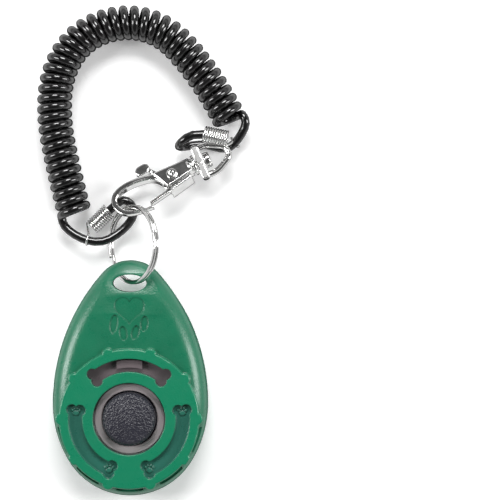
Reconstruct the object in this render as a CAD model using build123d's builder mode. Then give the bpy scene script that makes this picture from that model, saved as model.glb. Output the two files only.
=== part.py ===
"""Clicker trainer: egg-shaped clicker, split ring, trigger clasp and curly wrist coil.

The object lies on its back.  Z = 0 is the flat back face, +Z leaves the button's face, +Y runs from
the button to the lanyard slot, and the button's axis is the origin.  Millimetres.
"""
from build123d import *
from math import atan2, cos, pi, radians, sin, sqrt, tan
import os

os.makedirs("parts", exist_ok=True)

# ---------------------------------------------------------------- case
HALF_WIDTH = 21.4
WIDEST_Y = 3.8
CASE_TOP = 43.4
CASE_BOTTOM = -21.55
UPPER_SIDE_R = 54.5
LOWER_SIDE_R = 30.45
WALL = 1.8
PARTING_Z = 5.7
DOME_Z = 11.4
DOME_FILLET = 5.0
CEILING_Z = 9.6
BACK_FLOOR_Z = 1.6
BACK_FILLET = 2.6
HOLLOW_FILLET = 3.2
HOLLOW_END_FRONT = 29.0
HOLLOW_END_BACK = 20.6
BACK_SLOPE_START = 20.0
NOSE_START = 33.0
NOSE_UNDER_Z = 6.3
NOSE_TIP_Z = 8.9
NOSE_END = 45.0
NOSE_CURVE_START = 28.0
NOSE_DROP = DOME_Z - NOSE_TIP_Z
NOSE_CURVE_R = ((NOSE_END - NOSE_CURVE_START) ** 2 + NOSE_DROP**2) / (2 * NOSE_DROP)
SLOT_Y = 37.06
SLOT_HALF_X = 4.67
SLOT_HALF_Y = 2.37
LARGE_PAW_DEPTH = 0.35

# ---------------------------------------------------------------- case screws and posts
SCREWS = ((0.0, -15.9), (-11.6, 16.6), (11.6, 16.6))
BOSS_R = 2.5
COUNTERBORE_R = 2.1
COUNTERBORE_DEPTH = 2.2
CLEARANCE_HOLE_R = 1.15
THREAD_HOLE_R = 0.85
THREAD_HOLE_DEPTH = 3.6
SCREW_HEAD_R = 1.9
SCREW_HEAD_Z = 0.5
SCREW_SHANK_R = 0.8
SCREW_TIP_Z = 8.8
DRIVE_SPAN = 2.2
DRIVE_WIDTH = 0.5
DRIVE_DEPTH = 0.9
POST_R = 1.1
POST_SPACING = (18.4, 14.0)

# ---------------------------------------------------------------- bezel
BEZEL_R = 19.2
BEZEL_Z = 12.7
BUMP_R = 1.7
BUMP_CENTRE_R = 18.5
BUMPS = 10
BUMP_STEP = 360 / BUMPS
BEZEL_FILLET = 0.45
GROOVE_FLOOR_Z = 9.2
GROOVE_WIDTH = 0.8
GROOVE_START = 8.0
GROOVE_SWEEP = 20.0
BUTTON_HOLE_R = 9.9
BONE_MID_R = 14.7
WINDOW_WIDTH = 3.6
POCKET_WIDTH = 3.8
BONE_HALF_ANGLE = 38.0
SHANK_HALF_ANGLE = 34.0
BONE_LOBE_R = 1.55
BONE_LOBES = ((15.8, 1.2), (13.6, 2.0))
POCKET_DEPTH = 1.5
SMALL_PAW_HEIGHT = 0.35

# ---------------------------------------------------------------- button and click tongue
BUTTON_R = 7.27
BUTTON_TOP = 14.3
CROWN_RISE = 0.45
CROWN_EDGE_R = 5.7
EDGE_DROP = 1.3
BUTTON_ROOF_Z = 12.3
BUTTON_SKIRT_R = 5.9
FLANGE_R = 8.4
FLANGE_Z = 7.4
FLANGE_TOP = 8.8
PUSHER_R = 1.3
TONGUE_Z = 5.0
TONGUE_T = 0.3
TONGUE_SIZE = (9.0, 30.0)
TONGUE_CENTRE_Y = 4.0
TONGUE_HOLE_Y = -6.5
LEDGE_Y = 17.3
LEDGE_SIZE = (10.0, 4.6)
FENCE_X = 4.8
FENCE_WIDTH = 0.4
FENCE_HEIGHT = 0.7

# ---------------------------------------------------------------- carrier
CARRIER_Z = 8.2
CARRIER_R = 17.3
CARRIER_CUT_Y = 3.5
CARRIER_RING_R = 12.4
GUIDE_Z = 6.6
GUIDE_IN_R = 8.8
LIP_Z = 9.0
COLLAR_IN_R = 7.65
COLLAR_OUT_R = 9.65
COLLAR_TOP = 10.2
BLOCK_SIZE = (7.0, 2.1)
BLOCK_Y = 15.05
BLOCK_HEIGHT = 1.4
FOOT_Y = 14.5
FOOT_SIZE = (6.0, 1.2)

# ---------------------------------------------------------------- key ring
RING_OUT_R = 10.95
RING_IN_R = 9.85
RING_HALF_AXIAL = 0.85
RING_CENTRE = (0.9, 47.7, 9.0)
RING_TILT = 50.0
RING_SEAM = (0.24, 0.12)

# ---------------------------------------------------------------- clasp
CLASP_ORIGIN = (17.1, 68.6, 6.5)
CLASP_HEADING = 23.0
CLASP_ROLL = 25.0
SWIVEL_V = 0.8
RIVET_U = -5.7
RIVET_V = 0.1
CHEEK_IN = 1.0
CHEEK_OUT = 1.9
HOOK_HALF_DEPTH = 1.5
HOOK_TIP_HALF_DEPTH = 0.8
HOOK_ROUNDING = 0.5
RIVET_R = 0.75
RIVET_HEAD_R = 1.55
RIVET_HOLE_R = 0.8
PIVOT_EYE_R = 1.9
LEVER_BACK = -2.8
LEVER_HALF = 0.8
SPRING_WIRE = 0.16
NECK_R = 2.1
POST_HOLE_R = 0.95
SWIVEL_POST_R = 0.9
WASHER_R = 2.85
POST_HEAD_R = 2.2
POST_HEAD_U = 4.0
POST_HEAD_LENGTH = 1.7
BAIL_ROLL = 12.0
BAIL_HALF = 4.15
BAIL_WIRE = 0.88
BAIL_BASE_U = 2.7
BAIL_START_U = 2.8

# ---------------------------------------------------------------- cord
STRAND_D = 2.4
COIL_D = 9.85
COIL_Z = 4.98
CRIMP_WIRE = 0.68
CRIMP_R = 2.0
CRIMP_TURNS = 10
CRIMP_SLEEVE = 0.62

MIN_ALIGN = (Align.CENTER, Align.CENTER, Align.MIN)


def solve_end_radius(side_r, height):
    """Radius of the end arc that is tangent to both side arcs and reaches the given height."""
    reach = side_r - HALF_WIDTH
    return (side_r**2 - reach**2 - height**2) / (2 * (side_r - height))


def egg(inset):
    """Outline of the case, moved inwards: six tangent arcs, all on the same centres."""
    points = []
    for side_r, height, up in (
        (UPPER_SIDE_R, CASE_TOP - WIDEST_Y, 1),
        (LOWER_SIDE_R, WIDEST_Y - CASE_BOTTOM, -1),
    ):
        end_r = solve_end_radius(side_r, height)
        reach = side_r - HALF_WIDTH
        turn = atan2(height - end_r, reach)
        r = side_r - inset
        joint = (r * cos(turn) - reach, WIDEST_Y + up * r * sin(turn))
        middle = (r * cos(turn / 2) - reach, WIDEST_Y + up * r * sin(turn / 2))
        tip = (0, WIDEST_Y + up * (height - inset))
        points.append((middle, joint, tip))
    waist = HALF_WIDTH - inset
    (up_mid, up_joint, up_tip), (low_mid, low_joint, low_tip) = points
    with BuildSketch() as outline:
        with BuildLine():
            ThreePointArc((waist, WIDEST_Y), up_mid, up_joint)
            ThreePointArc(up_joint, up_tip, (-up_joint[0], up_joint[1]))
            ThreePointArc((-up_joint[0], up_joint[1]), (-up_mid[0], up_mid[1]), (-waist, WIDEST_Y))
            ThreePointArc((-waist, WIDEST_Y), (-low_mid[0], low_mid[1]), (-low_joint[0], low_joint[1]))
            ThreePointArc((-low_joint[0], low_joint[1]), low_tip, low_joint)
            ThreePointArc(low_joint, low_mid, (waist, WIDEST_Y))
        make_face()
    return outline.sketch


def bone(middle_angle, width):
    """Curved bone: an arc-shaped shank with two round lobes at each end."""
    with BuildSketch() as shape:
        with BuildLine(mode=Mode.PRIVATE) as spine:
            CenterArc((0, 0), BONE_MID_R, middle_angle - SHANK_HALF_ANGLE, 2 * SHANK_HALF_ANGLE)
        SlotArc(spine.edge(), width)
        for side in (-1, 1):
            for r, extra in BONE_LOBES:
                angle = radians(middle_angle + side * (BONE_HALF_ANGLE + extra))
                with Locations((r * cos(angle), r * sin(angle))):
                    Circle(BONE_LOBE_R)
    return shape.sketch


def tiny_paw(angle):
    """Small raised paw print for the end of a bone pocket."""
    a = radians(angle)
    cx = BONE_MID_R * cos(a)
    cy = BONE_MID_R * sin(a)
    with BuildSketch() as shape:
        with Locations((cx, cy - 0.45)):
            Ellipse(0.85, 0.65)
        for dx, dy in ((-1.0, 0.35), (-0.38, 0.85), (0.38, 0.85), (1.0, 0.35)):
            with Locations((cx + dx, cy + dy)):
                Ellipse(0.27, 0.38)
    return shape.sketch


def paw_pad():
    """Heart-shaped pad of the large paw print, point down."""
    with BuildSketch() as shape:
        with BuildLine():
            Spline((0, 32.1), (1.6, 33.2), (3.6, 32.4), (4.0, 30.2), (2.2, 28.0), (0, 25.9))
            mirror(about=Plane.YZ)
        make_face()
    return shape.sketch


def toe(x, y, length, lean):
    """Teardrop toe of the large paw print."""
    with BuildSketch() as shape:
        with Locations(Location((x, y, 0), (0, 0, lean))):
            Ellipse(1.05, length / 2)
    return shape.sketch


def paw_print():
    """Large paw print below the lanyard slot."""
    with BuildSketch() as shape:
        add(paw_pad())
        add(toe(-4.25, 25.9, 5.2, -8))
        add(toe(-1.65, 23.4, 3.9, 10))
        add(toe(1.65, 23.6, 3.9, -14))
        add(toe(4.1, 26.0, 4.2, -6))
    return shape.sketch


# ------------------------------------------------------------------------ back shell
with BuildPart() as back_shell:
    with BuildSketch():
        add(egg(0))
    extrude(amount=PARTING_Z)
    fillet(back_shell.faces().sort_by(Axis.Z)[0].edges(), BACK_FILLET)
    chamfer(back_shell.faces().sort_by(Axis.Z)[-1].edges(), 0.2)
    # the back slopes up to the nose, which belongs to the front shell alone
    with BuildSketch(Plane.YZ):
        with BuildLine():
            Polyline(
                (BACK_SLOPE_START, -1.0), (BACK_SLOPE_START, 0.0), (NOSE_START, PARTING_Z),
                (NOSE_START, 7.0), (50.0, 7.0), (50.0, -1.0), close=True,
            )
        make_face()
    extrude(amount=30, both=True, mode=Mode.SUBTRACT)
    with BuildSketch(Plane.XY.offset(BACK_FLOOR_Z)):
        add(egg(WALL))
        with Locations((0, HOLLOW_END_BACK + 20)):
            Rectangle(60, 40, mode=Mode.SUBTRACT)
    extrude(amount=PARTING_Z - BACK_FLOOR_Z, mode=Mode.SUBTRACT)
    # screw bosses
    with BuildSketch(Plane.XY.offset(BACK_FLOOR_Z)):
        with Locations(*SCREWS):
            Circle(BOSS_R)
    extrude(amount=PARTING_Z - BACK_FLOOR_Z)
    # posts under the carrier, and the ledge with two fences under the held end of the tongue
    with BuildSketch(Plane.XY.offset(BACK_FLOOR_Z)):
        with GridLocations(*POST_SPACING, 2, 2):
            Circle(POST_R)
    extrude(amount=CARRIER_Z - BACK_FLOOR_Z)
    with BuildSketch(Plane.XY.offset(BACK_FLOOR_Z)):
        with Locations((0, LEDGE_Y)):
            Rectangle(*LEDGE_SIZE)
    extrude(amount=TONGUE_Z - BACK_FLOOR_Z)
    with BuildSketch(Plane.XY.offset(TONGUE_Z)):
        with Locations((-FENCE_X, LEDGE_Y), (FENCE_X, LEDGE_Y)):
            Rectangle(FENCE_WIDTH, LEDGE_SIZE[1])
    extrude(amount=FENCE_HEIGHT)
    # screw holes with counterbores
    with Locations(*[(x, y, 0) for x, y in SCREWS]):
        Cylinder(COUNTERBORE_R, COUNTERBORE_DEPTH, align=MIN_ALIGN, mode=Mode.SUBTRACT)
        Cylinder(CLEARANCE_HOLE_R, PARTING_Z + 1, align=MIN_ALIGN, mode=Mode.SUBTRACT)
back_shell.part.label = "back_shell"
export_step(back_shell.part, "parts/back_shell.step")

# ------------------------------------------------------------------------ front shell
with BuildPart() as front_hollow:
    with BuildSketch(Plane.XY.offset(PARTING_Z)):
        add(egg(WALL))
    extrude(amount=CEILING_Z - PARTING_Z)
    fillet(front_hollow.faces().sort_by(Axis.Z)[-1].edges(), HOLLOW_FILLET)
    with BuildSketch(Plane.XY.offset(PARTING_Z)):
        with Locations((0, HOLLOW_END_FRONT + 20)):
            Rectangle(60, 40)
    extrude(amount=10, mode=Mode.SUBTRACT)

with BuildPart() as front_shell:
    with BuildSketch(Plane.XY.offset(PARTING_Z)):
        add(egg(0))
    extrude(amount=DOME_Z - PARTING_Z)
    fillet(front_shell.faces().sort_by(Axis.Z)[-1].edges(), DOME_FILLET)
    # nose: lowered top, raised underside
    with BuildSketch(Plane.YZ):
        with BuildLine():
            RadiusArc((NOSE_CURVE_START, DOME_Z), (NOSE_END, NOSE_TIP_Z), NOSE_CURVE_R)
            Polyline(
                (NOSE_END, NOSE_TIP_Z), (NOSE_END, 13.0), (NOSE_CURVE_START, 13.0),
                (NOSE_CURVE_START, DOME_Z),
            )
        make_face()
        with BuildLine():
            Polyline(
                (NOSE_START, PARTING_Z), (34.4, NOSE_UNDER_Z), (NOSE_END, NOSE_UNDER_Z),
                (NOSE_END, 5.0), (NOSE_START, 5.0), close=True,
            )
        make_face()
    extrude(amount=30, both=True, mode=Mode.SUBTRACT)
    # bezel disc with its grip bumps
    with BuildSketch(Plane.XY.offset(CEILING_Z)):
        Circle(BEZEL_R)
        with PolarLocations(BUMP_CENTRE_R, BUMPS):
            Circle(BUMP_R)
        add(egg(0.9), mode=Mode.INTERSECT)
    extrude(amount=BEZEL_Z - CEILING_Z)
    fillet(front_shell.faces().sort_by(Axis.Z)[-1].edges(), BEZEL_FILLET)
    # channels between the bumps along the lower rim
    with BuildSketch(Plane.XY.offset(GROOVE_FLOOR_Z)):
        for bump in (5, 6, 7, 8, 9):
            with BuildLine(mode=Mode.PRIVATE) as groove_line:
                CenterArc(
                    (0, 0), BEZEL_R + GROOVE_WIDTH / 2, BUMP_STEP * bump + GROOVE_START, GROOVE_SWEEP,
                )
            SlotArc(groove_line.edge(), GROOVE_WIDTH)
    extrude(amount=BEZEL_Z - GROOVE_FLOOR_Z, mode=Mode.SUBTRACT)
    add(front_hollow.part, mode=Mode.SUBTRACT)
    # button hole, and the top bone, which is a window
    with BuildSketch(Plane.XY.offset(PARTING_Z)):
        Circle(BUTTON_HOLE_R)
        add(bone(90, WINDOW_WIDTH))
    extrude(amount=10, mode=Mode.SUBTRACT)
    # the other two bones are pockets with raised paw prints
    with BuildSketch(Plane.XY.offset(BEZEL_Z - POCKET_DEPTH)):
        for middle in (210, 330):
            add(bone(middle, POCKET_WIDTH))
    extrude(amount=POCKET_DEPTH + 1, mode=Mode.SUBTRACT)
    with BuildSketch(Plane.XY.offset(BEZEL_Z - POCKET_DEPTH)):
        for middle in (210, 330):
            for side in (-1, 1):
                add(tiny_paw(middle + side * BONE_HALF_ANGLE))
    extrude(amount=SMALL_PAW_HEIGHT)
    # large paw print, sunk into the dome
    with BuildSketch(Plane.XY.offset(DOME_Z - LARGE_PAW_DEPTH)):
        add(paw_print())
    extrude(amount=1, mode=Mode.SUBTRACT)
    # lanyard slot
    with BuildSketch(Plane.XY.offset(PARTING_Z)):
        with Locations((0, SLOT_Y)):
            Ellipse(SLOT_HALF_X, SLOT_HALF_Y)
    extrude(amount=8, mode=Mode.SUBTRACT)
    # screw bosses with blind holes
    with BuildSketch(Plane.XY.offset(PARTING_Z)):
        with Locations(*SCREWS):
            Circle(BOSS_R)
    extrude(amount=CEILING_Z - PARTING_Z + 0.3)
    with Locations(*[(x, y, PARTING_Z) for x, y in SCREWS]):
        Cylinder(THREAD_HOLE_R, THREAD_HOLE_DEPTH, align=MIN_ALIGN, mode=Mode.SUBTRACT)
    # seam line round the case, which stops short of the nose
    parting_face = front_shell.faces().filter_by(Axis.Z).sort_by(Axis.Z)[0]
    seam = parting_face.outer_wire().edges().filter_by(lambda e: e.center().Y < 30 and e.length > 5)
    chamfer(seam, 0.2)
front_shell.part.label = "front_shell"
export_step(front_shell.part, "parts/front_shell.step")

# ------------------------------------------------------------------------ carrier with the button's collar
with BuildPart() as carrier:
    with BuildSketch(Plane.XY.offset(CARRIER_Z)):
        Circle(CARRIER_R)
        with Locations((0, CARRIER_CUT_Y - 20)):
            Rectangle(40, 40, mode=Mode.SUBTRACT)
        Circle(CARRIER_RING_R)
        Circle(GUIDE_IN_R + 0.1, mode=Mode.SUBTRACT)
        with Locations(*SCREWS):
            Circle(BOSS_R + 0.4, mode=Mode.SUBTRACT)
    extrude(amount=CEILING_Z - CARRIER_Z)
    # guide: wide below for the button's flange, with a lip above that stops it
    with BuildSketch(Plane.XY.offset(GUIDE_Z)):
        Circle(COLLAR_OUT_R)
        Circle(GUIDE_IN_R, mode=Mode.SUBTRACT)
    extrude(amount=LIP_Z - GUIDE_Z)
    with BuildSketch(Plane.XY.offset(LIP_Z)):
        Circle(COLLAR_OUT_R)
        Circle(COLLAR_IN_R, mode=Mode.SUBTRACT)
    extrude(amount=COLLAR_TOP - LIP_Z)
    fillet(carrier.faces().sort_by(Axis.Z)[-1].edges(), 0.3)
    # raised block in the window
    with BuildSketch(Plane.XY.offset(CEILING_Z)):
        with BuildLine(mode=Mode.PRIVATE) as block_line:
            CenterArc((0, 0), BLOCK_Y, 77, 26)
        SlotArc(block_line.edge(), BLOCK_SIZE[1])
        with Locations((0, BLOCK_Y)):
            Rectangle(BLOCK_SIZE[0], 4.0, mode=Mode.INTERSECT)
    extrude(amount=BLOCK_HEIGHT)
    # foot that holds the tongue down
    with BuildSketch(Plane.XY.offset(TONGUE_Z + TONGUE_T)):
        with Locations((0, FOOT_Y)):
            Rectangle(*FOOT_SIZE)
    extrude(amount=CARRIER_Z - TONGUE_Z - TONGUE_T)
carrier.part.label = "carrier"
export_step(carrier.part, "parts/carrier.step")

# ------------------------------------------------------------------------ push button
SHOULDER_Z = BUTTON_TOP - CROWN_RISE
CROWN_R = (CROWN_EDGE_R**2 + CROWN_RISE**2) / (2 * CROWN_RISE)
CROWN_MID_X = CROWN_EDGE_R / 2
CROWN_MID_Z = BUTTON_TOP - CROWN_R + sqrt(CROWN_R**2 - CROWN_MID_X**2)
EDGE_MID = (
    CROWN_EDGE_R + (BUTTON_R - CROWN_EDGE_R) * sin(pi / 4),
    SHOULDER_Z - EDGE_DROP * (1 - cos(pi / 4)),
)
with BuildPart() as button_cap:
    with BuildSketch(Plane.XZ):
        with BuildLine():
            Polyline(
                (0, BUTTON_TOP), (0, BUTTON_ROOF_Z), (BUTTON_SKIRT_R, BUTTON_ROOF_Z),
                (BUTTON_SKIRT_R, FLANGE_Z), (FLANGE_R, FLANGE_Z), (FLANGE_R, FLANGE_TOP),
                (BUTTON_R, FLANGE_TOP), (BUTTON_R, SHOULDER_Z - EDGE_DROP),
            )
            ThreePointArc((BUTTON_R, SHOULDER_Z - EDGE_DROP), EDGE_MID, (CROWN_EDGE_R, SHOULDER_Z))
            ThreePointArc((CROWN_EDGE_R, SHOULDER_Z), (CROWN_MID_X, CROWN_MID_Z), (0, BUTTON_TOP))
        make_face()
    revolve(axis=Axis.Z)
    # pusher with a round nose that rests on the tongue
    nose_z = TONGUE_Z + TONGUE_T + 1.0
    with Locations((0, 0, nose_z)):
        Cylinder(PUSHER_R, BUTTON_ROOF_Z + 0.3 - nose_z, align=MIN_ALIGN)
        Sphere(PUSHER_R)
    with BuildSketch():
        Circle(5)
    extrude(amount=TONGUE_Z + TONGUE_T + 0.02, mode=Mode.SUBTRACT)
button_cap.part.label = "button_cap"
export_step(button_cap.part, "parts/button_cap.step")

# ------------------------------------------------------------------------ click tongue
with BuildPart() as click_tongue:
    with BuildSketch(Plane.XY.offset(TONGUE_Z)):
        with Locations((0, TONGUE_CENTRE_Y)):
            RectangleRounded(*TONGUE_SIZE, 1.5)
        with Locations((0, TONGUE_HOLE_Y)):
            Circle(1.2, mode=Mode.SUBTRACT)
    extrude(amount=TONGUE_T)
click_tongue.part.label = "click_tongue"
export_step(click_tongue.part, "parts/click_tongue.step")

# ------------------------------------------------------------------------ case screws
SCREW_SHOULDER_Z = COUNTERBORE_DEPTH
for number, (x, y) in enumerate(SCREWS, start=1):
    with BuildPart() as case_screw:
        with Locations((x, y, SCREW_HEAD_Z)):
            Cylinder(SCREW_HEAD_R, SCREW_SHOULDER_Z - SCREW_HEAD_Z, align=MIN_ALIGN)
        with Locations((x, y, SCREW_SHOULDER_Z)):
            Cylinder(SCREW_SHANK_R, SCREW_TIP_Z - SCREW_SHOULDER_Z, align=MIN_ALIGN)
        with BuildSketch(Plane.XY.offset(SCREW_HEAD_Z)):
            with Locations((x, y)):
                Rectangle(DRIVE_SPAN, DRIVE_WIDTH)
                Rectangle(DRIVE_WIDTH, DRIVE_SPAN)
        extrude(amount=DRIVE_DEPTH, mode=Mode.SUBTRACT)
    case_screw.part.label = f"case_screw_{number}"
    export_step(case_screw.part, f"parts/case_screw_{number}.step")

# ------------------------------------------------------------------------ split key ring
RING_PLANE = Plane(
    origin=RING_CENTRE,
    x_dir=(cos(radians(RING_TILT)), 0, sin(radians(RING_TILT))),
    z_dir=(-sin(radians(RING_TILT)), 0, cos(radians(RING_TILT))),
)
with BuildPart() as ring_flat:
    with BuildSketch(Plane.XZ):
        with Locations(((RING_OUT_R + RING_IN_R) / 2, 0)):
            RectangleRounded(RING_OUT_R - RING_IN_R, 2 * RING_HALF_AXIAL, 0.25)
        # seam between the two turns of flat wire
        for r in (RING_OUT_R, RING_IN_R):
            with Locations((r, 0)):
                Rectangle(*RING_SEAM, mode=Mode.SUBTRACT)
    revolve(axis=Axis.Z)
    # the two bevelled ends of the wire
    for angle, low in ((205, -RING_HALF_AXIAL), (235, 0.0)):
        with Locations(Location((0, 0, low + RING_HALF_AXIAL / 2), (0, 0, angle))):
            with Locations((RING_OUT_R - 0.1, 0, 0)):
                Box(0.5, 0.35, RING_HALF_AXIAL, mode=Mode.SUBTRACT)
with BuildPart() as key_ring:
    add(ring_flat.part.moved(RING_PLANE.location))
key_ring.part.label = "key_ring"
export_step(key_ring.part, "parts/key_ring.step")

# ------------------------------------------------------------------------ clasp
HEADING = radians(CLASP_HEADING)
ALONG = Vector(cos(HEADING), sin(HEADING), 0)
ACROSS = Vector(-sin(HEADING), cos(HEADING), 0)


def rolled_plane(roll):
    """Plane whose X runs along the clasp, rolled about that axis so that its -Y side is the higher one."""
    r = radians(roll)
    normal = Vector(0, 0, 1) * cos(r) + ACROSS * sin(r)
    return Plane(origin=CLASP_ORIGIN, x_dir=ALONG, z_dir=normal)


CLASP = rolled_plane(CLASP_ROLL)
SWIVEL_POINT = CLASP.from_local_coords((0, SWIVEL_V, 0))
BAIL = Plane(origin=SWIVEL_POINT, x_dir=ALONG, z_dir=rolled_plane(BAIL_ROLL).z_dir)
SWIVEL_CROSS = Plane(origin=SWIVEL_POINT, x_dir=CLASP.y_dir, z_dir=ALONG)

TAPER_DIR = CLASP.x_dir * -cos(radians(45)) + CLASP.y_dir * -sin(radians(45))
HOOK_TAPER = Plane(
    origin=CLASP.from_local_coords((-12.5, 3.5, 0)), x_dir=TAPER_DIR, z_dir=TAPER_DIR.cross(CLASP.z_dir),
)


def swivel_at(u):
    """Cross-section plane of the swivel, u millimetres beyond the clasp body."""
    return SWIVEL_CROSS.offset(u)


with BuildPart() as hook_body:
    # hook: outer and inner lines, closed by the thin tongue at its tip
    with BuildSketch(CLASP.offset(-HOOK_HALF_DEPTH)):
        with BuildLine():
            Spline(
                (-9.6, 2.45), (-14.4, 3.5), (-19.6, 3.35), (-23.3, 1.5),
                (-24.2, -1.4), (-22.7, -4.6), (-19.4, -6.15), (-16.6, -6.55),
            )
            Polyline((-16.6, -6.55), (-13.9, -6.6), (-13.8, -6.05), (-16.4, -5.95), (-16.9, -5.35))
            Spline(
                (-16.9, -5.35), (-19.2, -5.05), (-21.65, -3.7), (-22.7, -1.3),
                (-22.0, 0.7), (-19.2, 1.9), (-14.4, 1.95), (-11.2, 1.0), (-9.4, -1.0), (-8.2, -2.9),
            )
            Polyline((-8.2, -2.9), (-7.2, -2.9), (-7.2, 2.4), (-9.6, 2.45))
        make_face()
    extrude(amount=2 * HOOK_HALF_DEPTH)
    long_edges = hook_body.edges().filter_by(lambda e: e.length > 8)
    fillet(long_edges, HOOK_ROUNDING)
    # the hook grows thinner towards its tip
    with BuildSketch(HOOK_TAPER):
        for side in (-1, 1):
            with BuildLine():
                Polyline(
                    (2.5, side * 1.6), (9.0, side * HOOK_TIP_HALF_DEPTH), (20.0, side * HOOK_TIP_HALF_DEPTH),
                    (20.0, side * 3.0), (2.5, side * 3.0), close=True,
                )
            make_face()
    extrude(amount=20, both=True, mode=Mode.SUBTRACT)
    # body: wedge that narrows towards the swivel
    with BuildSketch(CLASP.offset(-CHEEK_OUT)):
        with BuildLine():
            Polyline((0, 2.7), (-10.6, 2.55), (-9.5, 0.6), (-7.9, -2.9), (0, -1.2), close=True)
        make_face()
        fillet(vertices().group_by(Axis.X)[0], 0.3)
    extrude(amount=2 * CHEEK_OUT)
    # slot for the lever
    with BuildSketch(CLASP.offset(-CHEEK_IN)):
        with BuildLine():
            Polyline((-1.3, -6), (-1.3, 1.9), (-7.9, 1.9), (-7.9, 0.6), (-9.9, -2.4), (-9.9, -6), close=True)
        make_face()
    extrude(amount=2 * CHEEK_IN, mode=Mode.SUBTRACT)
    # hole for the rivet
    with BuildSketch(CLASP.offset(-3)):
        with Locations((RIVET_U, RIVET_V)):
            Circle(RIVET_HOLE_R)
    extrude(amount=6, mode=Mode.SUBTRACT)
    # round neck towards the swivel, and its hole
    with BuildSketch(swivel_at(-0.9)):
        Circle(NECK_R)
    extrude(amount=1.5)
    with BuildSketch(swivel_at(-1.0)):
        Circle(POST_HOLE_R)
    extrude(amount=3, mode=Mode.SUBTRACT)
hook_body.part.label = "hook_body"
export_step(hook_body.part, "parts/hook_body.step")

with BuildPart() as lever_rivet:
    with BuildSketch(CLASP.offset(-3.0)):
        with Locations((RIVET_U, RIVET_V)):
            Circle(RIVET_R)
    extrude(amount=5.3)
    with BuildSketch(CLASP.offset(CHEEK_OUT)):
        with Locations((RIVET_U, RIVET_V)):
            Circle(RIVET_HEAD_R)
    extrude(amount=0.45)
    fillet(lever_rivet.faces().sort_by(Axis(CLASP_ORIGIN, CLASP.z_dir))[-1].edges(), 0.25)
    with BuildSketch(CLASP.offset(CHEEK_OUT - 0.3)):
        with Locations((RIVET_U, RIVET_V)):
            Circle(0.6)
    extrude(amount=2, mode=Mode.SUBTRACT)
    with BuildSketch(CLASP.offset(-3.4)):
        with Locations((RIVET_U, RIVET_V)):
            Circle(1.5)
    extrude(amount=0.4)
lever_rivet.part.label = "lever_rivet"
export_step(lever_rivet.part, "parts/lever_rivet.step")

with BuildPart() as trigger_lever:
    # middle plate between the cheeks, with the gate
    with BuildSketch(CLASP.offset(-LEVER_HALF)):
        with BuildLine():
            Polyline(
                (-1.6, -0.9), (-0.9, -2.9), (-7.8, -4.7), (-8.1, -4.2), (-13.6, -5.45),
                (-14.3, -5.4), (-14.1, -4.55), (-9.0, -3.4), (-7.3, -1.9), (-6.9, 0.1), (-4.4, 0.5),
                close=True,
            )
        make_face()
        with Locations((RIVET_U, RIVET_V)):
            Circle(RIVET_HEAD_R)
    extrude(amount=2 * LEVER_HALF)
    # web along the lower edge and plate behind the rear cheek
    with BuildSketch(CLASP.offset(LEVER_BACK)):
        with BuildLine():
            Polyline(
                (-0.9, -1.75), (-0.8, -2.9), (-7.8, -4.7), (-7.6, -4.1), (-5.4, -3.15), close=True,
            )
        make_face()
    extrude(amount=CHEEK_OUT - LEVER_BACK)
    with BuildSketch(CLASP.offset(LEVER_BACK)):
        with BuildLine():
            Polyline(
                (-0.9, -1.2), (-0.8, -2.9), (-5.6, -4.1), (-7.7, 0.3), (-11.4, 5.2), (-14.0, 7.6),
                (-11.6, 7.4), (-8.6, 3.6), (-4.6, 1.7), close=True,
            )
        make_face()
        with Locations((RIVET_U, RIVET_V)):
            Circle(PIVOT_EYE_R)
        with Locations((-13.2, 6.2)):
            Circle(1.75)
    extrude(amount=0.6)
    # thumb tab
    with BuildSketch(CLASP.offset(LEVER_BACK)):
        with Locations(Location((-12.9, 6.2, 0), (0, 0, 10))):
            SlotOverall(4.2, 2.9)
    extrude(amount=2.3)
    with BuildSketch(CLASP.offset(-3)):
        with Locations((RIVET_U, RIVET_V)):
            Circle(RIVET_HOLE_R)
    extrude(amount=6, mode=Mode.SUBTRACT)
trigger_lever.part.label = "trigger_lever"
export_step(trigger_lever.part, "parts/trigger_lever.step")

with BuildPart() as gate_spring:
    with BuildSketch(CLASP.offset(LEVER_HALF + 0.02)):
        with Locations((RIVET_U, RIVET_V)):
            Circle(1.3)
            Circle(RIVET_HOLE_R, mode=Mode.SUBTRACT)
        with Locations((RIVET_U + 2.0, RIVET_V + 1.15)):
            Rectangle(3.4, SPRING_WIRE)
    extrude(amount=SPRING_WIRE)
gate_spring.part.label = "gate_spring"
export_step(gate_spring.part, "parts/gate_spring.step")

# ------------------------------------------------------------------------ swivel
with BuildPart() as swivel_washer:
    with BuildSketch(swivel_at(0.6)):
        Circle(WASHER_R)
        Circle(POST_HOLE_R, mode=Mode.SUBTRACT)
    extrude(amount=0.75)
    fillet(swivel_washer.edges().filter_by(GeomType.CIRCLE).sort_by(SortBy.RADIUS)[-2:], 0.2)
swivel_washer.part.label = "swivel_washer"
export_step(swivel_washer.part, "parts/swivel_washer.step")

with BuildPart() as swivel_post:
    with BuildSketch(swivel_at(-1.0)):
        Circle(SWIVEL_POST_R)
    extrude(amount=POST_HEAD_U + 1.4)
    with BuildSketch(swivel_at(POST_HEAD_U)):
        Circle(POST_HEAD_R)
    extrude(amount=POST_HEAD_LENGTH)
    fillet(swivel_post.faces().sort_by(Axis(SWIVEL_POINT, ALONG))[-1].edges(), 0.6)
swivel_post.part.label = "swivel_post"
export_step(swivel_post.part, "parts/swivel_post.step")

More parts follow.
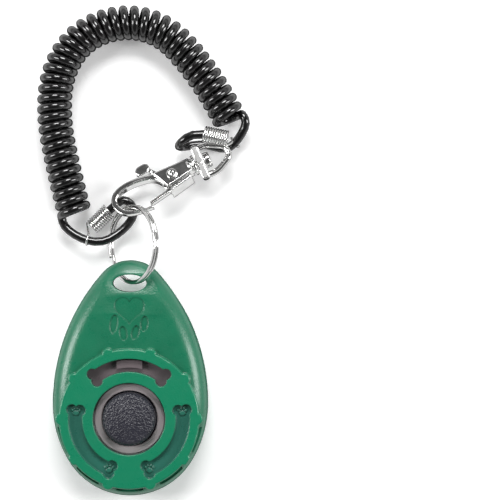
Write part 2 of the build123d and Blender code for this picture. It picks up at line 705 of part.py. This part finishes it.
with BuildPart() as swivel_bail:
    # flat base bar with the post's hole
    with BuildSketch(BAIL.offset(-1.2)):
        with Locations((BAIL_BASE_U, 0)):
            RectangleRounded(2.0, 2 * (BAIL_HALF + BAIL_WIRE), 0.7)
    extrude(amount=2.4)
    # round bow
    with BuildLine(BAIL):
        FilletPolyline(
            (BAIL_START_U, BAIL_HALF), (6.4, BAIL_HALF - 0.1), (10.9, 1.6), (10.9, -1.6),
            (6.4, 0.1 - BAIL_HALF), (BAIL_START_U, -BAIL_HALF),
            radius=(5.5, 1.9, 1.9, 5.5),
        )
    bow_start = BAIL.from_local_coords((BAIL_START_U, BAIL_HALF, 0))
    with BuildSketch(Plane(bow_start, x_dir=BAIL.z_dir, z_dir=ALONG)):
        Circle(BAIL_WIRE)
    sweep()
    with BuildSketch(swivel_at(1.0)):
        Circle(POST_HOLE_R)
    extrude(amount=3.2, mode=Mode.SUBTRACT)
swivel_bail.part.label = "swivel_bail"
export_step(swivel_bail.part, "parts/swivel_bail.step")

# ------------------------------------------------------------------------ cord


def bend_radii(points):
    """Largest easy radius at each corner of a cord's route."""
    radii = []
    for a, b, c in zip(points, points[1:], points[2:]):
        before = Vector(*b) - Vector(*a)
        after = Vector(*c) - Vector(*b)
        turn = radians(before.get_angle(after))
        radii.append(0.45 * min(before.length, after.length) / tan(turn / 2))
    return radii


def cord_tube(name, points, diameter):
    """Tube of a cord: straight runs joined by tangent arcs."""
    radii = bend_radii(points)
    with BuildPart() as tube:
        with BuildLine() as route:
            FilletPolyline(*points, radius=tuple(radii))
        start = Vector(*points[0])
        with BuildSketch(Plane(start, z_dir=Vector(*points[1]) - start)):
            Circle(diameter / 2)
        sweep()
    length = sum(edge.length for edge in route.edges())
    section = pi * diameter**2 / 4
    print(name, "radii", [round(r, 2) for r in radii], "length", round(length, 1))
    print(name, "volume / (section x length)", round(tube.part.volume / (section * length), 4))
    tube.part.label = name
    export_step(tube.part, f"parts/{name}.step")


def coil_exit(end, before, side, run):
    """Where a strand leaves the coil's end face, and the end of its first straight run."""
    along = (Vector(*end) - Vector(*before)).normalized()
    start = Vector(*end) + Vector(-along.Y, along.X, 0) * side * (COIL_D - STRAND_D) / 2
    return tuple(start), tuple(start + along * run)


COIL_ROUTE = (
    (-15.6, 56.5, COIL_Z), (-18.9, 69.5, COIL_Z), (-21.5, 83.5, COIL_Z), (-20.3, 96.2, COIL_Z),
    (-13.2, 106.2, COIL_Z), (-1.0, 110.0, COIL_Z), (9.8, 106.8, COIL_Z), (17.6, 98.2, COIL_Z),
    (23.7, 89.4, COIL_Z), (27.6, 82.1, COIL_Z),
)
RING_SIDE_ROUTE = (
    *coil_exit(COIL_ROUTE[0], COIL_ROUTE[1], -1, 3.5),
    (-12.6, 48.7, 5.9), (-7.0, 48.3, 4.9), (-1.2, 52.4, 3.3), (1.5, 57.2, 2.8), (-1.7, 60.7, 2.75),
    (-4.64, 58.62, 2.75), (-8.5, 54.86, 2.75),
)
CLASP_SIDE_ROUTE = (
    *coil_exit(COIL_ROUTE[-1], COIL_ROUTE[-2], 1, 3.1),
    (29.2, 76.0, 3.3), (26.0, 73.9, 2.6), (20.2, 75.9, 2.6), (13.4, 74.6, 2.65),
    (13.4, 75.2, 8.9), (17.6, 78.73, 9.3), (24.0, 77.38, 9.3),
)
cord_tube("wrist_coil", COIL_ROUTE, COIL_D)
cord_tube("coil_lead_ring_side", RING_SIDE_ROUTE, STRAND_D)
cord_tube("coil_lead_clasp_side", CLASP_SIDE_ROUTE, STRAND_D)


def crimp(name, start, end):
    """Close-wound wire spring pushed over the cord's tail: one rounded rib for each turn."""
    axis = Vector(*end) - Vector(*start)
    plane = Plane(Vector(*start), z_dir=axis)
    pitch = axis.length / CRIMP_TURNS
    with BuildPart() as spring:
        with BuildSketch(Plane.XZ):
            with Locations((STRAND_D / 2 + 0.05 + CRIMP_SLEEVE / 2, axis.length / 2)):
                Rectangle(CRIMP_SLEEVE, axis.length)
            for turn in range(CRIMP_TURNS):
                with Locations((CRIMP_R, (turn + 0.5) * pitch)):
                    Circle(CRIMP_WIRE / 2)
        revolve(axis=Axis.Z)
    with BuildPart() as placed:
        add(spring.part.moved(plane.location))
    placed.part.label = name
    export_step(placed.part, f"parts/{name}.step")


crimp("crimp_ring_side", (-6.0, 57.3, 2.75), (-11.23, 52.2, 2.75))
crimp("crimp_clasp_side", (20.1, 78.2, 9.3), (27.2, 76.7, 9.3))
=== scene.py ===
"""Looks of the clicker trainer: camera, cord, wire springs, split ring, materials and light.

Everything is in metres, in the frame of the CAD model: the object lies on its back on Z = 0, +Y runs
from the button to the lanyard slot and the button's axis is the origin.
"""
import bpy
from math import cos, pi, radians, sin
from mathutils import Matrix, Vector


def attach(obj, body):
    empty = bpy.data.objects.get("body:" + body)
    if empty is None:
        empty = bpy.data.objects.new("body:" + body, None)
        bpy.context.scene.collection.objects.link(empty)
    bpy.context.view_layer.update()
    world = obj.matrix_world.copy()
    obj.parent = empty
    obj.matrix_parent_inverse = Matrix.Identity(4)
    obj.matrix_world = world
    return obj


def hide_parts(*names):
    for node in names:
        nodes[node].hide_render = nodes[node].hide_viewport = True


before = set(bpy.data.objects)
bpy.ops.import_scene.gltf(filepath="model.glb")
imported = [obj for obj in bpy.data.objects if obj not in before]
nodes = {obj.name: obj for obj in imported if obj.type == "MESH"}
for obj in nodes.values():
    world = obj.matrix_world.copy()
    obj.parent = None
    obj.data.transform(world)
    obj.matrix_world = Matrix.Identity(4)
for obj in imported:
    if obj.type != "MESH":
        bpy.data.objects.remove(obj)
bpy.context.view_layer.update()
MM = 0.001

# ------------------------------------------------------------------------ camera
VIEW_CENTRE = Vector((0.03304, 0.04619, 0.0115))
VIEW_WIDTH = 0.13675
LENS = 135.0
SENSOR = 36.0

camera_data = bpy.data.cameras.new("camera")
camera_data.lens = LENS
camera_data.sensor_width = SENSOR
camera = bpy.data.objects.new("camera", camera_data)
camera.location = VIEW_CENTRE + Vector((0, 0, VIEW_WIDTH * LENS / SENSOR))
bpy.context.scene.collection.objects.link(camera)
bpy.context.scene.camera = camera


# ------------------------------------------------------------------------ materials
class Nodes:
    """Short way of adding and linking shader nodes of one material."""

    def __init__(self, name):
        self.material = bpy.data.materials.new(name)
        self.material.use_nodes = True
        self.tree = self.material.node_tree
        self.shader = self.tree.nodes["Principled BSDF"]

    def add(self, kind, **values):
        node = self.tree.nodes.new(kind)
        for key, value in values.items():
            if key in node.inputs.keys():
                node.inputs[key].default_value = value
            else:
                setattr(node, key, value)
        return node

    def link(self, a, b):
        self.tree.links.new(a, b)

    def noise(self, scale, detail=4.0, stretch=None):
        coords = self.add("ShaderNodeTexCoord")
        source = coords.outputs["Object"]
        if stretch:
            mapping = self.add("ShaderNodeMapping")
            mapping.inputs["Scale"].default_value = stretch
            self.link(source, mapping.inputs["Vector"])
            source = mapping.outputs["Vector"]
        noise = self.add("ShaderNodeTexNoise", Scale=scale, Detail=detail)
        self.link(source, noise.inputs["Vector"])
        return noise.outputs["Fac"]

    def cells(self, scale):
        coords = self.add("ShaderNodeTexCoord")
        cells = self.add("ShaderNodeTexVoronoi", Scale=scale)
        self.link(coords.outputs["Object"], cells.inputs["Vector"])
        return cells.outputs["Distance"]

    def spread(self, fac, low, high, start=0.3, end=0.7):
        ramp = self.add("ShaderNodeMapRange")
        ramp.inputs["From Min"].default_value = start
        ramp.inputs["From Max"].default_value = end
        ramp.inputs["To Min"].default_value = low
        ramp.inputs["To Max"].default_value = high
        self.link(fac, ramp.inputs["Value"])
        return ramp.outputs["Result"]

    def colours(self, fac, first, second):
        """From first, a colour or a socket, to second, a colour."""
        mix = self.add("ShaderNodeMix", data_type="RGBA")
        socket_a, socket_b = [s for s in mix.inputs if s.type == "RGBA"]
        if isinstance(first, tuple):
            socket_a.default_value = (*first, 1.0)
        else:
            self.link(first, socket_a)
        socket_b.default_value = (*second, 1.0)
        self.link(fac, mix.inputs["Factor"])
        return next(s for s in mix.outputs if s.type == "RGBA")

    def bump(self, height, depth, strength=1.0, after=None):
        bump = self.add("ShaderNodeBump", Strength=strength, Distance=depth)
        self.link(height, bump.inputs["Height"])
        if after:
            self.link(after, bump.inputs["Normal"])
        return bump.outputs["Normal"]

    def rounded(self, radius):
        """Normal that turns smoothly over every edge within the radius, or None without one."""
        if not radius:
            return None
        return self.add("ShaderNodeBevel", samples=8, Radius=radius).outputs["Normal"]

    def place(self):
        """Object-space radius from the button's axis and height, in metres."""
        coords = self.add("ShaderNodeTexCoord")
        split = self.add("ShaderNodeSeparateXYZ")
        self.link(coords.outputs["Object"], split.inputs["Vector"])
        flat = self.add("ShaderNodeCombineXYZ")
        self.link(split.outputs["X"], flat.inputs["X"])
        self.link(split.outputs["Y"], flat.inputs["Y"])
        length = self.add("ShaderNodeVectorMath", operation="LENGTH")
        self.link(flat.outputs["Vector"], length.inputs[0])
        return length.outputs["Value"], split.outputs["Z"]

    def times(self, a, b):
        product = self.add("ShaderNodeMath", operation="MULTIPLY")
        self.link(a, product.inputs[0])
        self.link(b, product.inputs[1])
        return product.outputs["Value"]


def plastic(
    name, colour, darker, rough, grain_scale, grain_depth, coat=0.0, inner=None, raised=None,
    rounding=0.0,
):
    """Moulded plastic: faint mottling, uneven gloss and a fine grain.

    inner is (colour, radius, height) of the part that lies inside a radius and below a height;
    raised is (colour, height) of the part that lies above a height; the case and carrier use these
    zones for painted light and shade, the pocket also for its own duller tone; rounding softens the
    look of the edges.
    """
    n = Nodes(name)
    paint = n.colours(n.spread(n.noise(160.0), 0.0, 1.0), colour, darker)
    if inner:
        inner_colour, inner_radius, inner_height = inner
        radius, height = n.place()
        inside = n.spread(radius, 1.0, 0.0, inner_radius, inner_radius + 0.0002)
        below = n.spread(height, 1.0, 0.0, inner_height, inner_height + 0.0003)
        paint = n.colours(n.times(inside, below), paint, inner_colour)
    if raised:
        raised_colour, raised_height = raised
        above = n.spread(n.place()[1], 0.0, 1.0, raised_height - 0.0003, raised_height)
        paint = n.colours(above, paint, raised_colour)
    n.link(paint, n.shader.inputs["Base Color"])
    n.link(n.spread(n.noise(420.0), rough * 0.85, rough * 1.2), n.shader.inputs["Roughness"])
    fine = n.bump(n.noise(grain_scale, detail=2.0), grain_depth, after=n.rounded(rounding))
    n.link(n.bump(n.noise(90.0, detail=1.0), 0.00006, 0.25, after=fine), n.shader.inputs["Normal"])
    n.shader.inputs["IOR"].default_value = 1.5
    n.shader.inputs["Coat Weight"].default_value = coat
    n.shader.inputs["Coat Roughness"].default_value = 0.24
    return n.material


def metal(name, colour, rough, wave_scale, wave_depth, stretch=None, rounding=0.0):
    """Plated or drawn metal: slight waviness, fine scratches, uneven polish and edges worn round."""
    n = Nodes(name)
    n.shader.inputs["Metallic"].default_value = 1.0
    darker = tuple(c * 0.86 for c in colour)
    tint = n.colours(n.spread(n.noise(300.0), 0.0, 1.0), colour, darker)
    n.link(tint, n.shader.inputs["Base Color"])
    polish = n.spread(n.noise(900.0, stretch=stretch), rough * 0.7, rough * 1.5)
    n.link(polish, n.shader.inputs["Roughness"])
    scratches = n.bump(
        n.noise(2600.0, detail=3.0, stretch=stretch), 0.000002, 0.4, after=n.rounded(rounding),
    )
    waves = n.bump(n.noise(wave_scale, detail=1.0), wave_depth, 0.6, after=scratches)
    n.link(waves, n.shader.inputs["Normal"])
    return n.material


def leather_grain(name, colour, worn, rough):
    """Button plastic with a moulded leather grain, shinier where thumbs have rubbed it."""
    n = Nodes(name)
    n.link(n.colours(n.spread(n.noise(240.0), 0.0, 1.0), colour, worn), n.shader.inputs["Base Color"])
    n.link(n.spread(n.noise(150.0), rough * 0.8, rough * 1.15), n.shader.inputs["Roughness"])
    pebbles = n.bump(n.cells(2000.0), 0.00018, 1.0)
    n.link(n.bump(n.noise(3200.0, detail=3.0), 0.0001, 0.8, after=pebbles), n.shader.inputs["Normal"])
    return n.material


def cord_plastic(name):
    """Glossy black soft plastic, with faint streaks and a little dust."""
    n = Nodes(name)
    n.link(
        n.colours(n.spread(n.noise(350.0), 0.0, 1.0), (0.003, 0.003, 0.003), (0.007, 0.007, 0.007)),
        n.shader.inputs["Base Color"],
    )
    n.link(n.spread(n.noise(500.0), 0.12, 0.24), n.shader.inputs["Roughness"])
    n.link(n.bump(n.noise(700.0, detail=2.0), 0.00002, 0.4), n.shader.inputs["Normal"])
    n.shader.inputs["IOR"].default_value = 1.5
    n.shader.inputs["Coat Weight"].default_value = 0.8
    n.shader.inputs["Coat IOR"].default_value = 1.5
    n.shader.inputs["Coat Roughness"].default_value = 0.07
    return n.material


GREEN = (0.007, 0.165, 0.083)
GREEN_DEEP = (0.006, 0.145, 0.073)
# The bezel's top face is painted a lighter green than the body of the same moulding: painted light.
BEZEL_PAINTED_LIGHT_GREEN = (0.004, 0.200, 0.098)
# The pocket floor is a darker, bluer green: partly its own duller tone, partly painted shade in the
# recess.
POCKET_TONE_AND_SHADE_GREEN = (0.022, 0.140, 0.102)
# The collar is painted a lighter grey than the carrier's plate, though both are one plastic: painted
# light on the collar, painted shade on the plate.
COLLAR_PAINTED_LIGHT_GREY = (0.450, 0.400, 0.410)
POCKET_RADIUS = 18.8 * MM
POCKET_TOP = 11.5 * MM
BEZEL_BOTTOM = 12.0 * MM
COLLAR_RADIUS = 9.8 * MM
ALL_HEIGHTS = 20.0 * MM
# Above BEZEL_BOTTOM the case is painted light on the bezel's top; inside POCKET_RADIUS and below
# POCKET_TOP it takes the pocket's own tone with painted shade.
CASE = plastic(
    "case_green", GREEN, GREEN_DEEP, rough=0.30, grain_scale=2400.0, grain_depth=0.00007, coat=0.5,
    inner=(POCKET_TONE_AND_SHADE_GREEN, POCKET_RADIUS, POCKET_TOP), raised=(BEZEL_PAINTED_LIGHT_GREEN, BEZEL_BOTTOM),
    rounding=0.0005,
)
# The carrier's own greys paint its plate in shade; inside COLLAR_RADIUS it gets the lighter collar
# grey as painted light.
CARRIER = plastic(
    "carrier_grey", (0.150, 0.118, 0.128), (0.122, 0.096, 0.104), rough=0.5, grain_scale=2800.0,
    grain_depth=0.00003, inner=(COLLAR_PAINTED_LIGHT_GREY, COLLAR_RADIUS, ALL_HEIGHTS),
)
BUTTON = leather_grain(
    "button_charcoal", (0.020, 0.020, 0.029), (0.029, 0.029, 0.040), rough=0.24,
)
NICKEL = metal(
    "nickel", (0.88, 0.88, 0.87), rough=0.09, wave_scale=320.0, wave_depth=0.00003, rounding=0.0006,
)
WIRE_STEEL = metal(
    "drawn_steel", (0.86, 0.86, 0.85), rough=0.12, wave_scale=600.0, wave_depth=0.00002,
)
INNER_STEEL = metal(
    "spring_steel", (0.50, 0.50, 0.49), rough=0.25, wave_scale=500.0, wave_depth=0.00002,
    stretch=(1.0, 0.1, 1.0),
)
BLACK_CORD = cord_plastic("cord_black")

PAINT = {
    "front_shell": CASE, "back_shell": CASE, "carrier": CARRIER, "button_cap": BUTTON,
    "click_tongue": INNER_STEEL, "case_screw_1": INNER_STEEL, "case_screw_2": INNER_STEEL,
    "case_screw_3": INNER_STEEL, "hook_body": NICKEL, "lever_rivet": NICKEL, "trigger_lever": NICKEL,
    "gate_spring": INNER_STEEL, "swivel_washer": NICKEL, "swivel_post": NICKEL, "swivel_bail": NICKEL,
}


def repaint(node, material):
    """Gives every material slot of a CAD node the same better material."""
    for material_slot in node.material_slots:
        material_slot.material = material


for name, material in PAINT.items():
    repaint(nodes[name], material)


def soften(node, width, segments=3):
    """Rounds the sharp edges of a CAD node a little, so that they catch the light."""
    weld = node.modifiers.new("weld", "WELD")
    weld.merge_threshold = 0.000002
    bevel = node.modifiers.new("edges", "BEVEL")
    bevel.width = width
    bevel.segments = segments
    bevel.limit_method = "ANGLE"
    bevel.angle_limit = radians(38.0)
    bevel.harden_normals = True


for name, width in (
    ("hook_body", 0.0003), ("trigger_lever", 0.0002), ("swivel_bail", 0.0002), ("lever_rivet", 0.0001),
    ("front_shell", 0.00035), ("carrier", 0.0001),
):
    soften(nodes[name], width)

# ------------------------------------------------------------------------ cord
STRAND_D = 2.4 * MM
COIL_D = 9.85 * MM
COIL_Z = 4.98
COIL_TURNS = 40
POINTS_A_TURN = 12
CUT_INSIDE = 1.02  # a NURBS turn runs inside its control points, so these lie this much further out
UP = Vector((0, 0, 1))

COIL_ROUTE = (
    (-15.6, 56.5, COIL_Z), (-18.9, 69.5, COIL_Z), (-21.5, 83.5, COIL_Z), (-20.3, 96.2, COIL_Z),
    (-13.2, 106.2, COIL_Z), (-1.0, 110.0, COIL_Z), (9.8, 106.8, COIL_Z), (17.6, 98.2, COIL_Z),
    (23.7, 89.4, COIL_Z), (27.6, 82.1, COIL_Z),
)
RING_SIDE_ROUTE = (
    (-18.3, 52.2, COIL_Z), (-12.6, 48.7, 5.9), (-7.0, 48.3, 4.9), (-1.2, 52.4, 3.3), (1.5, 57.2, 2.8),
    (-1.7, 60.7, 2.75), (-4.64, 58.62, 2.75), (-8.5, 54.86, 2.75),
)
CLASP_SIDE_ROUTE = (
    (32.3, 81.1, COIL_Z), (29.2, 76.0, 3.3), (26.0, 73.9, 2.6), (20.2, 75.9, 2.6), (13.4, 74.6, 2.65),
    (13.4, 75.2, 8.9), (17.6, 78.73, 9.3), (24.0, 77.38, 9.3),
)


def metres(points):
    """Route points in metres."""
    return [Vector(p) * MM for p in points]


def nurbs(name, points, resolution, diameter=0.0, roundness=5):
    """Smooth NURBS curve with these control points, as a round strand if it has a diameter."""
    data = bpy.data.curves.new(name, "CURVE")
    data.dimensions = "3D"
    data.resolution_u = resolution
    data.bevel_depth = diameter / 2
    data.bevel_resolution = roundness
    data.use_fill_caps = True
    spline = data.splines.new("NURBS")
    spline.points.add(len(points) - 1)
    for target, p in zip(spline.points, points):
        target.co = (*p, 1.0)
    spline.order_u = 3
    spline.use_endpoint_u = True
    obj = bpy.data.objects.new(name, data)
    bpy.context.scene.collection.objects.link(obj)
    return obj


def line_of(points):
    """Points along the smooth NURBS line of a route."""
    guide = nurbs("guide", points, resolution=12)
    bpy.context.view_layer.update()
    mesh = bpy.data.meshes.new_from_object(guide)
    line = [v.co.copy() for v in mesh.vertices]
    bpy.data.objects.remove(guide)
    bpy.data.meshes.remove(mesh)
    return line


def walk(line, count):
    """(point, direction) at count + 1 even steps along a line."""
    lengths = [0.0]
    for a, b in zip(line, line[1:]):
        lengths.append(lengths[-1] + (b - a).length)
    steps = []
    k = 0
    for i in range(count + 1):
        s = lengths[-1] * i / count
        while k < len(line) - 2 and lengths[k + 1] < s:
            k += 1
        part = (s - lengths[k]) / (lengths[k + 1] - lengths[k])
        steps.append((line[k].lerp(line[k + 1], part), (line[k + 1] - line[k]).normalized()))
    return steps


def helix(line, turns, radius, per_turn):
    """Turns of a strand round a line, starting on the side that lies to the left of the line."""
    points = []
    for i, (centre, along) in enumerate(walk(line, turns * per_turn)):
        side = UP.cross(along).normalized()
        angle = 2 * pi * i / per_turn
        lift = along.cross(side)
        points.append(centre + side * (radius * cos(angle)) + lift * (radius * sin(angle)))
    return points


coil_line = line_of(metres(COIL_ROUTE))
coil_radius = (COIL_D - STRAND_D) / 2
coil_turns = helix(coil_line, COIL_TURNS, coil_radius * CUT_INSIDE, POINTS_A_TURN)
lead_in = metres(reversed(RING_SIDE_ROUTE))
lead_out = metres(CLASP_SIDE_ROUTE)
curly_cord = nurbs("curly_cord", lead_in + coil_turns + lead_out, 3, STRAND_D)
curly_cord.data.materials.append(BLACK_CORD)
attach(curly_cord, "strap")
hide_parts("wrist_coil", "coil_lead_ring_side", "coil_lead_clasp_side")

# ------------------------------------------------------------------------ wire crimps
CRIMP_WIRE = 0.56 * MM
CRIMP_R = 2.0 * MM
CRIMP_COILS = 10
EYE_GAP = 0.1 * MM
EYE_CUT_INSIDE = 1.04


def crimp(name, node, start, end, strand, strand_along):
    """Close-wound wire spring on the cord's tail; its end makes an eye round the standing strand."""
    start, end, strand = Vector(start) * MM, Vector(end) * MM, Vector(strand) * MM
    along = (end - start).normalized()
    side = along.cross(UP).normalized()
    lift = side.cross(along)
    count = CRIMP_COILS * POINTS_A_TURN
    radius = CRIMP_R * CUT_INSIDE
    points = []
    for i in range(count + 1):
        angle = 2 * pi * i / POINTS_A_TURN
        centre = start + along * (CRIMP_WIRE * 0.5 + ((end - start).length - CRIMP_WIRE) * i / count)
        points.append(centre + side * (radius * cos(angle)) + lift * (radius * sin(angle)))
    run = Vector(strand_along).normalized()
    across = points[-1] - strand
    across = (across - run * across.dot(run)).normalized()
    other = run.cross(across)
    radius = ((STRAND_D + CRIMP_WIRE) / 2 + EYE_GAP) * EYE_CUT_INSIDE
    for i in range(POINTS_A_TURN - 1):
        angle = 2 * pi * i / POINTS_A_TURN
        lean = run * (CRIMP_WIRE * 1.1 * i / POINTS_A_TURN)
        points.append(strand + lean + across * (radius * cos(angle)) + other * (radius * sin(angle)))
    wire = nurbs(name, points, 3, CRIMP_WIRE, roundness=3)
    wire.data.materials.append(WIRE_STEEL)
    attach(wire, "strap")
    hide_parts(node)
    return wire


ring_side_crimp = crimp(
    "ring_side_crimp", "crimp_ring_side", (-6.0, 57.3, 2.75), (-11.23, 52.2, 2.75),
    (-12.1, 49.3, 5.7), (1.0, -0.3, 0.0),
)
clasp_side_crimp = crimp(
    "clasp_side_crimp", "crimp_clasp_side", (20.1, 78.2, 9.3), (27.2, 76.7, 9.3),
    (29.0, 76.3, 3.5), (-0.7, -0.7, -0.3),
)

# ------------------------------------------------------------------------ split ring
RING_CENTRE = Vector((0.9, 47.7, 9.0)) * MM
RING_TILT = radians(50.0)
RING_R = 10.4 * MM
RING_WIRE = (1.08 * MM, 0.80 * MM)
RING_EDGE = 0.3 * MM
TURN_GAP = 0.05 * MM
RING_CROSSING = radians(13.0)
RING_START = radians(215.0)
RING_STEPS = 300


def swept_mesh(name, frames, section):
    """Mesh that carries a section, a loop of (x, y), along frames of (centre, x way, y way)."""
    verts = []
    for centre, x_dir, y_dir in frames:
        verts += [centre + x_dir * x + y_dir * y for x, y in section]
    size = len(section)
    faces = []
    for i in range(len(frames) - 1):
        for j in range(size):
            a = i * size + j
            b = i * size + (j + 1) % size
            faces.append((a, b, b + size, a + size))
    faces.append(tuple(range(size - 1, -1, -1)))
    last = (len(frames) - 1) * size
    faces.append(tuple(range(last, last + size)))
    mesh = bpy.data.meshes.new(name)
    mesh.from_pydata(verts, [], faces)
    for polygon in mesh.polygons:
        polygon.use_smooth = len(polygon.vertices) == 4
    obj = bpy.data.objects.new(name, mesh)
    bpy.context.scene.collection.objects.link(obj)
    return obj


def rounded_section(width, height, radius):
    """Rounded rectangle as a loop of points."""
    loop = []
    steps = 4
    for sx, sy, start in ((1, 1, 0.0), (-1, 1, 0.5 * pi), (-1, -1, pi), (1, -1, 1.5 * pi)):
        cx = sx * (width / 2 - radius)
        cy = sy * (height / 2 - radius)
        for k in range(steps + 1):
            a = start + 0.5 * pi * k / steps
            loop.append((cx + radius * cos(a), cy + radius * sin(a)))
    return loop


def split_ring():
    """Two turns of flat wire; a short crossing joins the lower turn to the upper one."""
    x_axis = Vector((cos(RING_TILT), 0, sin(RING_TILT)))
    y_axis = Vector((0, 1, 0))
    normal = x_axis.cross(y_axis)
    shift = (RING_WIRE[1] + TURN_GAP) / 2
    start = RING_CROSSING * 1.15
    stop = 4 * pi - RING_CROSSING * 1.15
    frames = []
    for i in range(RING_STEPS + 1):
        t = start + (stop - start) * i / RING_STEPS
        climb = min(max((t - (2 * pi - RING_CROSSING)) / (2 * RING_CROSSING), 0.0), 1.0)
        climb = climb * climb * (3 - 2 * climb)
        out = x_axis * cos(t + RING_START) + y_axis * sin(t + RING_START)
        centre = RING_CENTRE + out * RING_R + normal * (shift * (2 * climb - 1))
        frames.append((centre, out, normal))
    ring = swept_mesh("split_ring", frames, rounded_section(*RING_WIRE, RING_EDGE))
    ring.data.materials.append(WIRE_STEEL)
    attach(ring, "ring")
    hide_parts("key_ring")


split_ring()

# ------------------------------------------------------------------------ floor and light
FLOOR_HALF = 1.5
floor_mesh = bpy.data.meshes.new("floor")
floor_mesh.from_pydata(
    [(x * FLOOR_HALF, y * FLOOR_HALF, 0) for x, y in ((-1, -1), (1, -1), (1, 1), (-1, 1))],
    [], [(0, 1, 2, 3)],
)
floor = bpy.data.objects.new("floor", floor_mesh)
bpy.context.scene.collection.objects.link(floor)
floor_look = Nodes("floor_white")
floor_look.link(
    floor_look.colours(floor_look.noise(30.0), (0.90, 0.90, 0.90), (0.93, 0.93, 0.93)),
    floor_look.shader.inputs["Base Color"],
)
floor_look.shader.inputs["Roughness"].default_value = 0.6
floor_look.shader.inputs["Emission Color"].default_value = (1.0, 1.0, 1.0, 1.0)
floor_look.shader.inputs["Emission Strength"].default_value = 0.22
floor_look.shader.inputs["Specular IOR Level"].default_value = 0.2
floor_mesh.materials.append(floor_look.material)
floor.visible_glossy = False  # glossy pieces mirror the studio's lower band instead

AIM = Vector((0.0, 0.045, 0.0))


def soft_light(name, place, size, power):
    """Softbox of this size in metres and power in watts that faces the object."""
    data = bpy.data.lights.new(name, "AREA")
    data.shape = "RECTANGLE"
    data.size, data.size_y = size
    data.energy = power
    light = bpy.data.objects.new(name, data)
    light.location = place
    light.rotation_euler = (AIM - Vector(place)).to_track_quat("-Z", "Y").to_euler()
    bpy.context.scene.collection.objects.link(light)


soft_light("top", (0.03, 0.58, 0.62), (0.36, 0.26), 4.4)
soft_light("left", (-0.60, 0.10, 0.46), (0.22, 0.40), 2.9)
soft_light("right", (0.64, 0.08, 0.46), (0.22, 0.40), 2.9)
soft_light("glint", (-0.11, 0.33, 0.75), (0.28, 0.28), 0.14)


# Brightness of the studio from straight down (0) over the horizon (0.5) to straight up (1).
STUDIO_BANDS = (
    (0.0, 0.03), (0.09, 0.10), (0.17, 1.10), (0.42, 1.10), (0.48, 0.08), (0.54, 1.0), (0.66, 0.9),
    (0.75, 0.14), (0.86, 0.10), (1.0, 0.10),
)
STUDIO_STRENGTH = 0.8


def studio_world():
    """Bright bands below and above the horizon with dark ones beside them, for the metal to mirror."""
    world = bpy.data.worlds.new("studio")
    world.use_nodes = True
    tree = world.node_tree
    background = tree.nodes["Background"]
    coords = tree.nodes.new("ShaderNodeTexCoord")
    split = tree.nodes.new("ShaderNodeSeparateXYZ")
    ramp = tree.nodes.new("ShaderNodeValToRGB")
    tree.links.new(coords.outputs["Generated"], split.inputs["Vector"])
    height = tree.nodes.new("ShaderNodeMapRange")
    height.inputs["From Min"].default_value = -1.0
    tree.links.new(split.outputs["Z"], height.inputs["Value"])
    tree.links.new(height.outputs["Result"], ramp.inputs["Fac"])
    tree.links.new(ramp.outputs["Color"], background.inputs["Color"])
    elements = ramp.color_ramp.elements
    for position, _ in STUDIO_BANDS[1:-1]:
        elements.new(position)
    for element, (_, level) in zip(elements, STUDIO_BANDS):
        element.color = (level, level, level, 1.0)
    background.inputs["Strength"].default_value = STUDIO_STRENGTH
    bpy.context.scene.world = world


studio_world()
bpy.context.scene.view_settings.view_transform = "Standard"
